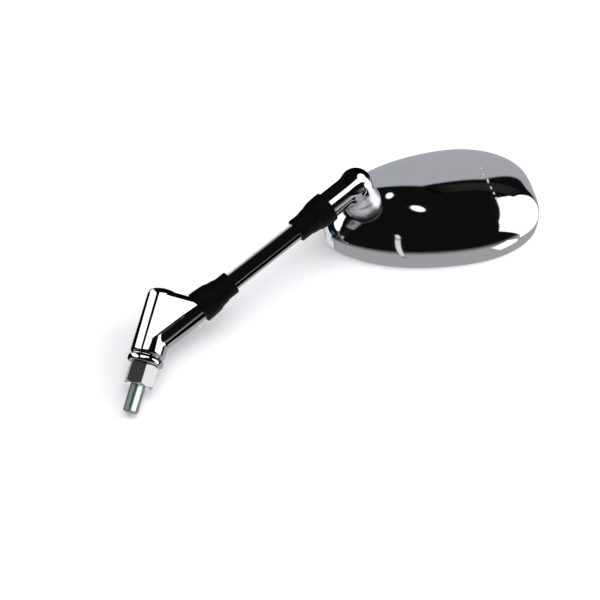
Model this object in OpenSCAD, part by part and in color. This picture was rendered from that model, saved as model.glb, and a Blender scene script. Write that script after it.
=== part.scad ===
// Motorcycle rear-view mirror with a two-piece chromed stem and a drop-shaped head.
// It stands on its threaded stud: +Z runs up the stud, the lock nut's lower face is at z = 0.
// The glass looks along +Y and the chromed back looks along -Y.

/* [Stud and lock nut] */
// Diameter of the mounting stud over its thread
stud_d = 10; // [8:0.5:12]
// Length of stud left free below the lock nut
stud_free = 17; // [12:1:25]
// Length of stud held inside the elbow casting
stud_hold = 22; // [16:1:28]
// Bevel at the stud's tip
stud_tip = 1.2; // [0.5:0.1:2]
// Height of the relief groove that ends the stud's lower thread inside the lock nut
relief_h = 1; // [0.6:0.1:1.5]
// Depth of the relief groove
relief_deep = 0.4; // [0.2:0.05:0.6]
// Width of the lock nut across its flats
nut_af = 17; // [15:0.5:19]
// Height of the lock nut
nut_h = 14; // [8:0.5:18]
// Turn of the lock nut on the stud
nut_turn = 49; // [0:1:59]

/* [Elbow casting] */
// Diameter of the upright tower
tower_d = 22; // [20:0.5:26]
// Height of the tower from its foot to its shoulder
tower_h = 46.9; // [42:0.1:56]
// Rise of the domed top above the shoulder
tower_dome = 3.4; // [2:0.1:5]
// Height of the bead at the tower's foot
bead_h = 3.8; // [3:0.1:5]
// How far the bead stands out from the tower
bead_out = 0.4; // [0:0.1:1]
// Height of the groove above the bead
groove_h = 2.2; // [1.5:0.1:3]
// Depth of the groove
groove_deep = 1.1; // [0.6:0.1:1.6]
// Angle between the stud and the stem
elbow_angle = 36; // [30:1:42]
// Height above the lock nut's foot at which the stem's axis meets the stud's axis
rod_origin = 26.1; // [24:0.1:29]
// Diameter of the elbow's arm
arm_d = 16.8; // [15:0.2:18]
// Length of the arm along the stem's axis
arm_len = 40.5; // [38:0.5:44]
// Length of the arm that the web wraps before the boot
arm_wrap = 7; // [4:0.5:10]
// Height above the stem's axis crossing at which the web leaves the tower
web_start = 10; // [6:0.5:14]

/* [Stem] */
// Diameter of the stem rod
rod_d = 12; // [11:0.5:13]
// Diameter of the rod's threaded ends
rod_thread_d = 10; // [9:0.5:10]
// Distance from the axis crossing to the knuckle's centre along the stem
knuckle_dist = 171.5; // [165:0.5:200]
// Depth to which each threaded end is screwed in
rod_screw = 15; // [10:0.5:17]
// Width of the jam nuts across their flats
jam_af = 14; // [13:0.5:15]
// Thickness of the jam nuts
jam_h = 6; // [5:0.5:7]

/* [Rubber boots] */
// Diameter of a boot at its mouth
boot_d = 21.2; // [20:0.1:23]
// Diameter of a boot's wide part where the cone starts
boot_mid_d = 20; // [19:0.1:21]
// Diameter of a boot's collar
collar_d = 15.9; // [15:0.1:18]
// Length of a boot
boot_len = 27; // [25:0.5:30]
// Length of a boot's wide part
boot_wide = 11.5; // [10:0.5:13]
// Length of a boot's collar
collar_len = 8.5; // [6:0.5:10]
// Wall of a boot at its mouth
boot_wall = 1.2; // [1:0.1:1.6]
// How far a boot's mouth laps over the casting
boot_lap = 1.5; // [0.5:0.1:3]

/* [Knuckle casting] */
// Diameter of the knuckle's tube
tube_d = 18.3; // [17:0.1:20]
// Length of the tube from its end face to the knuckle's centre
tube_len = 26; // [22:0.5:28]
// Diameter of the rounded end
knuckle_d = 21.8; // [20.5:0.1:24]
// Turn of the boss about the stem's axis
knuckle_turn = 30; // [0:1:45]
// Distance from the knuckle's centre to the ball's centre
ball_dist = 16.5; // [15:0.1:19]
// Diameter of the ball that ends the boss
ball_d = 25.2; // [24:0.2:26]

/* [Ball joint] */
// Thickness of the nylon friction ring between ball and pocket
ring_t = 0.8; // [0.6:0.05:1]
// Wall of the pocket in the shell
pocket_wall = 2.2; // [1.8:0.1:2.5]
// Radius of the swing hole in the pocket's floor
swing_r = 7.8; // [7.5:0.1:8.5]
// Thickness of the pressed cup under the pocket
cup_t = 1.5; // [1:0.1:1.8]
// Diameter of the pivot screw
pivot_d = 6; // [5:0.5:6]
// Length of the pivot screw's thread in the ball
pivot_screw_in = 13; // [10:0.5:16]
// Diameter of the pivot screw's head
pivot_head_d = 10.5; // [9.5:0.1:11]
// Height of the pivot screw's head
pivot_head_h = 3; // [2.5:0.1:3.3]
// Thickness of one disc spring
spring_t = 0.6; // [0.4:0.05:0.7]
// Dish of one disc spring
spring_dish = 0.35; // [0.2:0.05:0.45]

/* [Head shell] */
// Length of the head
head_len = 149; // [145:1:155]
// Width of the head at its middle
head_wid = 93; // [90:1:97]
// Squareness of the outline, where 2 is an ellipse
head_square = 3.2; // [2.6:0.1:3.6]
// Widening of the outline toward its broad end
head_taper = 0.17; // [0.12:0.01:0.2]
// Narrowing of the outline toward both ends
head_waist = 0.28; // [0.22:0.01:0.32]
// Drop of both ends below the middle
head_droop = 0.03; // [0:0.01:0.05]
// Height of the upright skirt at the shell's rim
skirt_h = 8; // [7.5:0.25:9]
// Rise of the dome above the skirt
dome_h = 22.5; // [22:0.25:24]
// Fullness of the dome, where 2 is an ellipse
dome_full = 2.1; // [2:0.05:2.25]
// Wall of the shell
shell_t = 2.4; // [2:0.1:2.6]
// Bevel along the front edge of the shell
rim_bevel = 0.8; // [0.4:0.1:1]
// Distance of the ball's centre from the head's narrow end
ball_in = 26.8; // [26:0.1:28]
// Place of the ball's centre across the head
ball_y = -3.3; // [-4.5:0.1:-2]
// Height of the ball's centre above the rim's plane
ball_z = 30.1; // [29.8:0.1:30.8]
// Lean of the ball pocket along the head's length
pocket_lean = 15; // [13:0.5:17]
// Lean of the ball pocket across the head
pocket_tip = 7.5; // [5:0.5:9]
// Turn of the head about the boss
head_spin = -61; // [-75:1:-50]

/* [Glass and carrier] */
// Radius of the convex glass
glass_r = 1200; // [900:50:1600]
// Depth of the glass's crown behind the rim's plane
glass_sunk = 0.6; // [0.4:0.1:0.8]
// Thickness of the glass
glass_t = 2; // [1.8:0.1:2.2]
// Width of the rubber gasket around the glass
gasket_w = 2.2; // [1.6:0.1:2.6]
// Depth of the gasket
gasket_deep = 4.6; // [4:0.1:4.8]
// Thickness of the adhesive foam pad
pad_t = 1; // [0.6:0.1:1.2]
// Thickness of the carrier plate
carrier_t = 2.2; // [2:0.1:2.4]
// Radius of the opening in the carrier and pad round the pivot screw
carrier_hole = 16; // [15:0.5:17]
// Diameter of the posts that hold the carrier
post_d = 7; // [6:0.2:8]
// Diameter of the carrier screws
carrier_screw_d = 2.6; // [2:0.1:3]
// Diameter of the carrier screws' heads
carrier_head_d = 5.4; // [5:0.1:6]
// Depth of the carrier screws' heads
carrier_head_h = 1; // [0.8:0.1:1.1]
// Length of the carrier screws
carrier_screw_len = 8; // [6:0.5:10]

/* [Hidden] */
// Gap between faces that only meet when something is tightened
face_gap = 0.3;
// Radial gap of a thread or shaft that turns in its hole
run_gap = 0.05;
// Radial gap of a part that is screwed or pressed in for good
fixed_gap = 0.02;
// Radial gap between the ball, the friction ring and the pocket
ball_gap = 0.15;
// Gap that keeps trim and sheet parts just off one another
sheet_gap = 0.05;
// How far the stud's relief groove starts below the lock nut
relief_gap = 0.2;
// Small overlap that joins two solids of one piece
weld = 0.5;
round_fn = 96;
fine_fn = 64;
hull_fn = 48;

elbow_foot = nut_h + face_gap;
tower_r = tower_d / 2;
shoulder_z = elbow_foot + tower_h;
arm_r = arm_d / 2;
thread_r = rod_thread_d / 2;
lower_nut_s = arm_len + face_gap;
rod_start = lower_nut_s + jam_h + face_gap;
knuckle_face = knuckle_dist - tube_len;
upper_nut_s = knuckle_face - face_gap - jam_h;
rod_end = upper_nut_s - face_gap;
lower_mouth = arm_len - boot_lap;
upper_mouth = knuckle_face + boot_lap;
web_end = lower_mouth - face_gap;
ball_r = ball_d / 2;
// The ball is cut flat where the pivot screw enters it
ball_flat = ball_r * cos(30);
ring_in = ball_r + ball_gap;
ring_out = ring_in + ring_t;
pocket_r = ring_out + ball_gap;
bulge_r = pocket_r + pocket_wall;
cup_in = bulge_r + ball_gap;
cup_back = cup_in + cup_t + ball_gap;
spring_h = spring_t + spring_dish;
springs_back = cup_back + 2 * (spring_h + sheet_gap);
washer_t = 0.8;
washer_back = springs_back + sheet_gap + washer_t;
pivot_seat = washer_back + sheet_gap;
half_len = head_len / 2;
half_wid = head_wid / 2;
ball_x = ball_in - half_len;
glass_in = shell_t + gasket_w;
glass_back = glass_sunk + glass_t;
pad_back = glass_back + pad_t;
carrier_back = pad_back + carrier_t;
posts = [[-22, 24], [-20, -28], [48, 22], [46, -22]];

// Shapes that several pieces share

// Point of the head's outline at angle a, on the level where the dome has shrunk to s, moved in by t
function egg(a, s, t) =
    let (m = 2 + (head_square - 2) * s * s,
         r = pow(pow(abs(cos(a)), m) + pow(abs(sin(a)), m), -1 / m),
         x = s * r * cos(a),
         y = s * r * sin(a))
    [(half_len - t) * x,
     (half_wid - t) * y * (1 + head_taper * x - head_waist * x * x) - head_droop * half_wid * x * x];

// Shrink and rise of the dome's profile at angle p above the skirt
function dome_r(p) = pow(pow(cos(p), dome_full) + pow(sin(p), dome_full), -1 / dome_full);
function dome_row(p, t) = [dome_r(p) * cos(p), skirt_h + (dome_h - t) * dome_r(p) * sin(p)];

// Height of the convex glass's face at distance r from the head's middle
function lens_z(r, z) = z + glass_r - sqrt(glass_r * glass_r - r * r);

module along_stem(s = 0) {
    translate([0, 0, rod_origin])
        rotate([0, elbow_angle, 0])
            translate([0, 0, s])
                children();
}

// Frame of the knuckle's boss, with +Z pointing into the head
module at_boss() {
    along_stem(knuckle_dist)
        rotate([0, 0, -knuckle_turn])
            rotate([-90, 0, 0])
                children();
}

module at_ball() {
    at_boss()
        translate([0, 0, ball_dist])
            children();
}

// Frame of the head, with its outline in XY, the rim's front edge at z = 0 and the back toward +Z
module at_head() {
    at_ball()
        rotate([180, 0, head_spin])
            rotate([pocket_tip, 0, 0])
                rotate([0, pocket_lean, 0])
                    translate([-ball_x, -ball_y, -ball_z])
                        children();
}

module hex_nut(af, h, hole_r) {
    corner_r = af / 2 / cos(30);
    bevel = corner_r - af / 2;
    difference() {
        intersection() {
            cylinder(h = h, r = corner_r, $fn = 6);
            rotate_extrude($fn = fine_fn)
                polygon([[0, 0], [af / 2 - 0.3, 0], [corner_r, bevel], [corner_r, h - bevel],
                    [af / 2 - 0.3, h], [0, h]]);
        }
        translate([0, 0, -1])
            cylinder(h = h + 2, r = hole_r, $fn = fine_fn);
    }
}

// Sleeve boot with its mouth at z = 0 and its collar at z = boot_len
module boot() {
    lip = 0.6;
    cone_end = boot_len - collar_len;
    bore_r = rod_d / 2 + 0.1;
    rotate_extrude($fn = round_fn)
        polygon([
            [boot_d / 2 - boot_wall, 0],
            [boot_d / 2 - lip, 0],
            [boot_d / 2 - lip / 4, lip / 4],
            [boot_d / 2, lip],
            [boot_d / 2 - 0.15, boot_wide * 0.6],
            [boot_mid_d / 2, boot_wide],
            [boot_mid_d / 2 - 0.5, boot_wide + 1],
            [collar_d / 2 + 0.9, cone_end - 1.4],
            [collar_d / 2 + 0.15, cone_end],
            [collar_d / 2, cone_end + 1],
            [collar_d / 2, boot_len - lip],
            [collar_d / 2 - lip / 4, boot_len - lip / 4],
            [collar_d / 2 - lip, boot_len],
            [bore_r, boot_len],
            [bore_r, boot_wide + 2.5],
            [boot_d / 2 - boot_wall, boot_wide - 1.6]
        ]);
}

// Prism of the head's outline moved in by t
module head_prism(t, z0, z1) {
    translate([0, 0, z0])
        linear_extrude(height = z1 - z0)
            polygon([for (i = [0 : 95]) egg(i * 360 / 96, 1, t)]);
}

// Convex sheet between two heights of its crown
module lens(z0, z1) {
    reach = half_len + 5;
    steps = 10;
    rotate_extrude($fn = round_fn)
        polygon(concat(
            [for (i = [0 : steps]) [reach * i / steps, lens_z(reach * i / steps, z0)]],
            [for (i = [steps : -1 : 0]) [reach * i / steps, lens_z(reach * i / steps, z1)]]));
}

// Closed smooth solid of the head, moved in by t
module head_form(t, z0, around, rows) {
    bevel = t == 0 ? rim_bevel : 0;
    low = t == 0 ? [[bevel, 0], [0, bevel]] : [[t, z0]];
    rings = concat(
        [for (q = low) [for (i = [0 : around - 1])
            let (p = egg(i * 360 / around, 1, q[0])) [p[0], p[1], q[1]]]],
        [for (k = [0 : rows - 1])
            let (d = dome_row(90 * k / rows, t))
            [for (i = [0 : around - 1])
                let (p = egg(i * 360 / around, d[0], t)) [p[0], p[1], d[1]]]]);
    count = len(rings);
    apex = count * around;
    points = concat([for (g = rings) for (p = g) p], [[0, 0, skirt_h + dome_h - t]]);
    faces = concat(
        [[for (i = [0 : around - 1]) i]],
        [for (k = [0 : count - 2]) for (i = [0 : around - 1])
            let (a = k * around + i, b = k * around + (i + 1) % around)
            [a, a + around, b]],
        [for (k = [0 : count - 2]) for (i = [0 : around - 1])
            let (b = k * around + (i + 1) % around, a = k * around + i)
            [b, a + around, b + around]],
        [for (i = [0 : around - 1])
            [(count - 1) * around + i, apex, (count - 1) * around + (i + 1) % around]]);
    polyhedron(points = points, faces = faces, convexity = 4);
}

module at_pocket() {
    translate([ball_x, ball_y, ball_z])
        rotate([0, -pocket_lean, 0])
            rotate([-pocket_tip, 0, 0])
                children();
}

// The pieces, from the stud upward

module stud() {
    r = stud_d / 2;
    top = elbow_foot + stud_hold;
    relief_z = -relief_gap;
    color([0.72, 0.78, 0.76])
        rotate_extrude($fn = round_fn)
            polygon([[0, -stud_free], [r - stud_tip, -stud_free], [r, stud_tip - stud_free],
                [r, relief_z], [r - relief_deep, relief_z],
                [r - relief_deep, relief_z + relief_h - relief_deep], [r, relief_z + relief_h],
                [r, top - stud_tip], [r - stud_tip, top], [0, top]]);
}

module lock_nut() {
    color([0.85, 0.86, 0.88])
        rotate([0, 0, nut_turn])
            hex_nut(nut_af, nut_h, stud_d / 2 + run_gap);
}

module elbow() {
    top = elbow_foot + stud_hold;
    bead_r = tower_r + bead_out;
    neck_r = tower_r - groove_deep;
    dome_steps = 6;
    dome_sphere = (tower_r * tower_r + tower_dome * tower_dome) / (2 * tower_dome);
    dome_ang = asin(tower_r / dome_sphere);
    color([0.9, 0.91, 0.93])
        difference() {
            union() {
                rotate_extrude($fn = round_fn)
                    polygon(concat(
                        [[0, elbow_foot], [bead_r - 0.8, elbow_foot], [bead_r - 0.2, elbow_foot + 0.4],
                         [bead_r, elbow_foot + bead_h * 0.35],
                         [bead_r, elbow_foot + bead_h * 0.65],
                         [bead_r - 0.3, elbow_foot + bead_h * 0.9],
                         [neck_r + 0.2, elbow_foot + bead_h],
                         [neck_r, elbow_foot + bead_h + 0.3],
                         [neck_r, elbow_foot + bead_h + groove_h - 0.8],
                         [neck_r + 0.3, elbow_foot + bead_h + groove_h - 0.3],
                         [tower_r, elbow_foot + bead_h + groove_h]],
                        [for (i = [0 : dome_steps])
                            let (a = dome_ang * (1 - i / dome_steps))
                            [i == dome_steps ? 0 : dome_sphere * sin(a),
                             shoulder_z + dome_sphere * (cos(a) - cos(dome_ang))]]));
                along_stem(0)
                    cylinder(h = arm_len, r = arm_r, $fn = round_fn);
                hull() {
                    translate([0, 0, rod_origin + web_start])
                        cylinder(h = shoulder_z - rod_origin - web_start, r = tower_r, $fn = hull_fn);
                    translate([0, 0, shoulder_z + tower_dome * 0.5])
                        cylinder(h = tower_dome * 0.1, r = tower_r * 0.72, $fn = hull_fn);
                    along_stem(web_end - arm_wrap)
                        cylinder(h = arm_wrap, r = arm_r, $fn = hull_fn);
                }
            }
            translate([0, 0, elbow_foot - 1])
                cylinder(h = top - elbow_foot + 1.2, r = stud_d / 2 + fixed_gap, $fn = fine_fn);
            along_stem(arm_len - rod_screw - 1)
                cylinder(h = rod_screw + 3, r = thread_r + run_gap, $fn = fine_fn);
        }
}

module stem_rod() {
    r = rod_d / 2;
    bevel = 0.6;
    low = arm_len - rod_screw;
    high = knuckle_face + rod_screw;
    color([0.78, 0.79, 0.81])
        along_stem(0)
            rotate_extrude($fn = round_fn)
                polygon([[0, low], [thread_r - 1, low], [thread_r, low + 1], [thread_r, rod_start],
                    [r - bevel, rod_start], [r, rod_start + bevel], [r, rod_end - bevel],
                    [r - bevel, rod_end], [thread_r, rod_end], [thread_r, high - 1],
                    [thread_r - 1, high], [0, high]]);
}

module lower_jam_nut() {
    color([0.7, 0.71, 0.68])
        along_stem(lower_nut_s)
            hex_nut(jam_af, jam_h, thread_r + run_gap);
}

module upper_jam_nut() {
    color([0.7, 0.71, 0.68])
        along_stem(upper_nut_s)
            hex_nut(jam_af, jam_h, thread_r + run_gap);
}

module lower_boot() {
    color([0.08, 0.08, 0.09])
        along_stem(lower_mouth)
            boot();
}

module upper_boot() {
    color([0.08, 0.08, 0.09])
        along_stem(upper_mouth)
            rotate([180, 0, 0])
                boot();
}

module knuckle() {
    end_r = knuckle_d / 2;
    tube_r = tube_d / 2;
    flare = sqrt(end_r * end_r - tube_r * tube_r);
    color([0.9, 0.91, 0.93])
        difference() {
            union() {
                along_stem(knuckle_face)
                    rotate_extrude($fn = round_fn)
                        polygon([[0, 0], [tube_r - 0.6, 0], [tube_r, 0.6], [tube_r, tube_len - flare - 4],
                            [tube_r + 0.25, tube_len - flare - 1.5], [end_r * 0.9, tube_len - flare + 1.2],
                            [0, tube_len]]);
                along_stem(knuckle_dist)
                    sphere(r = end_r, $fn = round_fn);
                at_boss()
                    rotate_extrude($fn = round_fn)
                        polygon([[0, 0], [end_r - 0.3, 0], [end_r - 0.25, 4], [end_r + 0.2, 8],
                            [end_r + 0.9, 11.5], [ball_r, ball_dist], [0, ball_dist]]);
                intersection() {
                    at_ball()
                        sphere(r = ball_r, $fn = round_fn);
                    at_ball()
                        translate([0, 0, -weld])
                            cylinder(h = weld + ball_flat, r = ball_r + 1, $fn = fine_fn);
                }
            }
            along_stem(knuckle_face - 2)
                cylinder(h = rod_screw + 3, r = thread_r + run_gap, $fn = fine_fn);
            at_ball()
                translate([0, 0, ball_flat - pivot_screw_in - 1])
                    cylinder(h = pivot_screw_in + 3, r = pivot_d / 2 + fixed_gap, $fn = fine_fn);
        }
}

module pivot_screw() {
    r = pivot_d / 2;
    socket_af = 4;
    color([0.6, 0.6, 0.62])
        at_ball()
            difference() {
                union() {
                    translate([0, 0, ball_flat - pivot_screw_in])
                        cylinder(h = pivot_seat - ball_flat + pivot_screw_in + weld, r = r, $fn = fine_fn);
                    translate([0, 0, pivot_seat])
                        rotate_extrude($fn = fine_fn)
                            polygon([[0, 0], [pivot_head_d / 2, 0],
                                [pivot_head_d / 2, pivot_head_h - 0.8],
                                [pivot_head_d / 2 - 0.8, pivot_head_h], [0, pivot_head_h]]);
                }
                translate([0, 0, pivot_seat + pivot_head_h - 1.8])
                    cylinder(h = 3, r = socket_af / 2 / cos(30), $fn = 6);
            }
}

module pressure_cup() {
    // Polar angle of the cup's edge, seen from the ball's centre
    edge = 38;
    steps = 9;
    back_r = 8;
    out_r = cup_in + cup_t;
    color([0.62, 0.62, 0.64])
        at_ball()
            difference() {
                union() {
                    rotate_extrude($fn = round_fn)
                        polygon(concat(
                            [[0, cup_in - 2]],
                            [[(cup_in - 2) * sin(edge), (cup_in - 2) * cos(edge)]],
                            [for (i = [0 : steps])
                                let (a = edge * (1 - i / steps))
                                [i == steps ? 0 : out_r * sin(a), out_r * cos(a)]]));
                    cylinder(h = cup_back, r = back_r, $fn = fine_fn);
                }
                sphere(r = cup_in, $fn = 144);
                cylinder(h = 40, r = pivot_d / 2 + run_gap, $fn = fine_fn);
            }
}

module disc_spring(z, flip) {
    in_r = pivot_d / 2 + 0.2;
    out_r = 7;
    a = flip ? spring_dish : 0;
    b = flip ? 0 : spring_dish;
    translate([0, 0, z])
        rotate_extrude($fn = fine_fn)
            polygon([[in_r, a], [out_r, b], [out_r, b + spring_t], [in_r, a + spring_t]]);
}

module disc_springs() {
    color([0.4, 0.4, 0.42])
        at_ball() {
            disc_spring(cup_back + sheet_gap, true);
            disc_spring(cup_back + spring_h + 2 * sheet_gap, false);
        }
}

module pivot_washer() {
    color([0.65, 0.65, 0.66])
        at_ball()
            translate([0, 0, springs_back + sheet_gap])
                difference() {
                    cylinder(h = washer_t, r = 6.5, $fn = fine_fn);
                    translate([0, 0, -1])
                        cylinder(h = washer_t + 2, r = pivot_d / 2 + run_gap, $fn = fine_fn);
                }
}

module friction_ring() {
    // Polar angles of the ring's two edges, seen from the ball's centre
    inner_edge = 36;
    outer_edge = 60;
    color([0.85, 0.85, 0.8])
        at_ball()
            intersection() {
                difference() {
                    sphere(r = ring_out, $fn = 144);
                    sphere(r = ring_in, $fn = 144);
                }
                translate([0, 0, ring_in * cos(outer_edge)])
                    cylinder(h = ring_in * (cos(inner_edge) - cos(outer_edge)), r = ring_out + 1,
                        $fn = fine_fn);
            }
}

module post(x, y) {
    r = norm([x, y]);
    foot = lens_z(r + post_d / 2, carrier_back) + sheet_gap;
    translate([x, y, foot])
        cylinder(h = skirt_h + dome_h, r = post_d / 2, $fn = fine_fn);
}

module back_shell() {
    color([0.88, 0.89, 0.91])
        at_head()
            difference() {
                head_form(0, 0, 96, 18);
                difference() {
                    head_form(shell_t, -1, 96, 10);
                    translate([ball_x, ball_y, ball_z])
                        sphere(r = bulge_r, $fn = 144);
                    for (p = posts)
                        post(p[0], p[1]);
                }
                translate([ball_x, ball_y, ball_z])
                    sphere(r = pocket_r, $fn = 144);
                at_pocket()
                    rotate([180, 0, 0])
                        cylinder(h = bulge_r + 4, r = swing_r, $fn = fine_fn);
                for (p = posts)
                    translate([p[0], p[1], 0])
                        cylinder(h = lens_z(norm(p), carrier_back) + carrier_screw_len,
                            r = carrier_screw_d / 2 + fixed_gap, $fn = fine_fn);
            }
}

module pivot_opening(z0, z1) {
    at_pocket()
        rotate([180, 0, 0])
            translate([0, 0, z0])
                cylinder(h = z1 - z0, r = carrier_hole, $fn = fine_fn);
}

module carrier_plate() {
    color([0.12, 0.12, 0.13])
        at_head()
            difference() {
                intersection() {
                    head_prism(glass_in + sheet_gap, 0, 20);
                    lens(pad_back + sheet_gap, carrier_back);
                }
                pivot_opening(4, 60);
                for (p = posts) {
                    translate([p[0], p[1], 0])
                        cylinder(h = 20, r = carrier_screw_d / 2 + 0.2, $fn = fine_fn);
                    translate([p[0], p[1], 0])
                        cylinder(h = lens_z(norm(p), pad_back) + carrier_head_h + 0.3,
                            r = carrier_head_d / 2 + 0.2, $fn = fine_fn);
                }
            }
}

module carrier_screws() {
    color([0.5, 0.5, 0.5])
        at_head()
            for (p = posts)
                translate([p[0], p[1], lens_z(norm(p), pad_back) + 0.25])
                    difference() {
                        union() {
                            cylinder(h = carrier_head_h, r = carrier_head_d / 2, $fn = fine_fn);
                            cylinder(h = carrier_screw_len, r = carrier_screw_d / 2, $fn = fine_fn);
                        }
                        translate([-0.4, -1.6, -1])
                            cube([0.8, 3.2, 1.6]);
                        translate([-1.6, -0.4, -1])
                            cube([3.2, 0.8, 1.6]);
                    }
}

module glass_pad() {
    color([0.2, 0.2, 0.2])
        at_head()
            difference() {
                intersection() {
                    head_prism(glass_in + 1, 0, 20);
                    lens(glass_back + sheet_gap, pad_back);
                }
                pivot_opening(4, 60);
            }
}

module mirror_glass() {
    color([0.75, 0.82, 0.86])
        at_head()
            intersection() {
                head_prism(glass_in, 0, 20);
                lens(glass_sunk, glass_back);
            }
}

// Rubber frame between the glass and the shell's skirt
module glass_gasket() {
    color([0.06, 0.06, 0.07])
        at_head()
            difference() {
                head_prism(shell_t + sheet_gap, 0.2, gasket_deep);
                head_prism(glass_in - sheet_gap, -1, 20);
            }
}

stud();
lock_nut();
elbow();
stem_rod();
lower_jam_nut();
upper_jam_nut();
lower_boot();
upper_boot();
knuckle();
pivot_screw();
pressure_cup();
disc_springs();
pivot_washer();
friction_ring();
back_shell();
carrier_plate();
carrier_screws();
glass_pad();
mirror_glass();
glass_gasket();
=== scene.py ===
import math

import bmesh
import bpy
import numpy as np
from mathutils import Matrix, Vector


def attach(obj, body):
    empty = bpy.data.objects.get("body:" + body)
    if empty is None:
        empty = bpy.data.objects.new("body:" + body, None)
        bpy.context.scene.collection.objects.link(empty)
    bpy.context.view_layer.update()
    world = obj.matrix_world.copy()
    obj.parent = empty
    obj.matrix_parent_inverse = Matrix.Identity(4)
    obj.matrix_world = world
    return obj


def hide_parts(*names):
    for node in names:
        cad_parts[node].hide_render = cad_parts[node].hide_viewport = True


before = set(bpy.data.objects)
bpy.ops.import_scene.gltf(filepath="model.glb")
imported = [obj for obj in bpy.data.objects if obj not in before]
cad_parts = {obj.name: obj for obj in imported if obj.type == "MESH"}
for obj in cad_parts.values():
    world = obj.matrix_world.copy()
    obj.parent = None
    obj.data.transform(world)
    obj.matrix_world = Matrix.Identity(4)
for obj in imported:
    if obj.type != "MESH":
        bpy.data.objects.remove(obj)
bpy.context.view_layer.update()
print("frame loaded:", len(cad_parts), "nodes")

mm = 0.001


# Turns about the row's axes, in degrees, as 3 by 3 arrays
def turnX(a):
    c, s = math.cos(math.radians(a)), math.sin(math.radians(a))
    return np.array([[1, 0, 0], [0, c, -s], [0, s, c]])


def turnY(a):
    c, s = math.cos(math.radians(a)), math.sin(math.radians(a))
    return np.array([[c, 0, s], [0, 1, 0], [-s, 0, c]])


def turnZ(a):
    c, s = math.cos(math.radians(a)), math.sin(math.radians(a))
    return np.array([[c, -s, 0], [s, c, 0], [0, 0, 1]])


# The same placing as in the part's source, in millimetres and degrees
placing = {
    "rodOrigin": 26.1,
    "elbowAngle": 36,
    "knuckleDist": 171.5,
    "knuckleTurn": 30,
    "ballDist": 16.5,
    "headSpin": -61,
    "pocketTip": 7.5,
    "pocketLean": 15,
    "ballInHead": (-47.7, -3.3, 30.1),
}
stemTurn = turnY(placing["elbowAngle"])
stemFoot = np.array([0, 0, placing["rodOrigin"]])
stemAlong = stemTurn[:, 2]
knuckleMid = stemFoot + placing["knuckleDist"] * stemAlong
bossTurn = stemTurn @ turnZ(-placing["knuckleTurn"]) @ turnX(-90)
ballMid = knuckleMid + placing["ballDist"] * bossTurn[:, 2]
headTurn = (
    bossTurn
    @ turnZ(placing["headSpin"])
    @ turnX(180)
    @ turnX(placing["pocketTip"])
    @ turnY(placing["pocketLean"])
)
headMid = ballMid - headTurn @ np.array(placing["ballInHead"])


def inHead(p):
    return p @ headTurn.T + headMid


def alongStem(p):
    return p @ stemTurn.T + stemFoot


# A grid of points (rows, columns, 3) in mm becomes a mesh of quads. The columns join round,
# and wrapRows joins the last row to the first. A row whose points are all one point is a
# pole, whose quads weldClose makes into triangles.
def gridMesh(name, grid, wrapRows=False):
    rows, cols = grid.shape[:2]
    index = np.arange(rows * cols).reshape(rows, cols)
    nxt = np.roll(index, -1, axis=1)
    if wrapRows:
        low, high = index, np.roll(index, -1, axis=0)
        lowN, highN = nxt, np.roll(nxt, -1, axis=0)
    else:
        low, high, lowN, highN = index[:-1], index[1:], nxt[:-1], nxt[1:]
    quads = np.stack([low, lowN, highN, high], -1).reshape(-1, 4)
    mesh = bpy.data.meshes.new(name)
    mesh.from_pydata((grid.reshape(-1, 3) * mm).tolist(), [], quads.tolist())
    mesh.validate()
    work = bpy.data.objects.new(name, mesh)
    bpy.context.scene.collection.objects.link(work)
    return work


def weldClose(piece, gap=1e-6, sharp=35):
    bm = bmesh.new()
    bm.from_mesh(piece.data)
    bmesh.ops.remove_doubles(bm, verts=bm.verts, dist=gap)
    bmesh.ops.dissolve_degenerate(bm, edges=bm.edges, dist=gap / 10)
    bmesh.ops.recalc_face_normals(bm, faces=bm.faces)
    bm.to_mesh(piece.data)
    bm.free()
    piece.data.shade_smooth()
    piece.data.set_sharp_from_angle(angle=math.radians(sharp))
    return piece


# The head shell, in the head's own axes: x along it, z out of the rim's plane
shell = {
    "length": 149,
    "width": 93,
    "square": 3.2,
    "taper": 0.17,
    "waist": 0.28,
    "droop": 0.03,
    "skirt": 8,
    "dome": 22.5,
    "full": 2.1,
    "wall": 2.4,
    "rimRound": 0.8,
    "tuck": 0.18,
    "pocket": 13.7,
    "pocketBack": 15.9,
    "swing": 7.8,
    "columns": 288,
    "rimRows": 7,
    "skirtRows": 9,
    "domeRows": 91,
    "bowlRows": 13,
    "innerRows": 40,
    "innerSkirtRows": 5,
    "spacing": 1.15,
    "startWide": 0.85,
}


# A point of the outline: a superellipse whose squareness grows with the level s,
# widened toward +x, drawn in toward both ends and drooped by x squared
def eggPoint(phi, s, inset):
    m = 2 + (shell["square"] - 2) * s * s
    r = (np.abs(np.cos(phi)) ** m + np.abs(np.sin(phi)) ** m) ** (-1 / m)
    x, y = s * r * np.cos(phi), s * r * np.sin(phi)
    halfW = shell["width"] / 2
    px = (shell["length"] / 2 - inset) * x
    py = (halfW - inset) * y * (1 + shell["taper"] * x - shell["waist"] * x * x)
    return px, py - shell["droop"] * halfW * x * x


# Height of the dome over the rim's plane at level s
def domeHeight(s, inset):
    p = shell["full"]
    return shell["skirt"] + (shell["dome"] - inset) * np.clip(1 - s**p, 0, 1) ** (1 / p)


# A point of the dome from its plan point q in the unit disc
def domePoint(q, inset):
    s = np.clip(np.linalg.norm(q, axis=-1), 1e-9, 1)
    phi = np.arctan2(q[..., 1], q[..., 0])
    x, y = eggPoint(phi, s, inset)
    return np.stack([x, y, domeHeight(s, inset)], -1)


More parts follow.
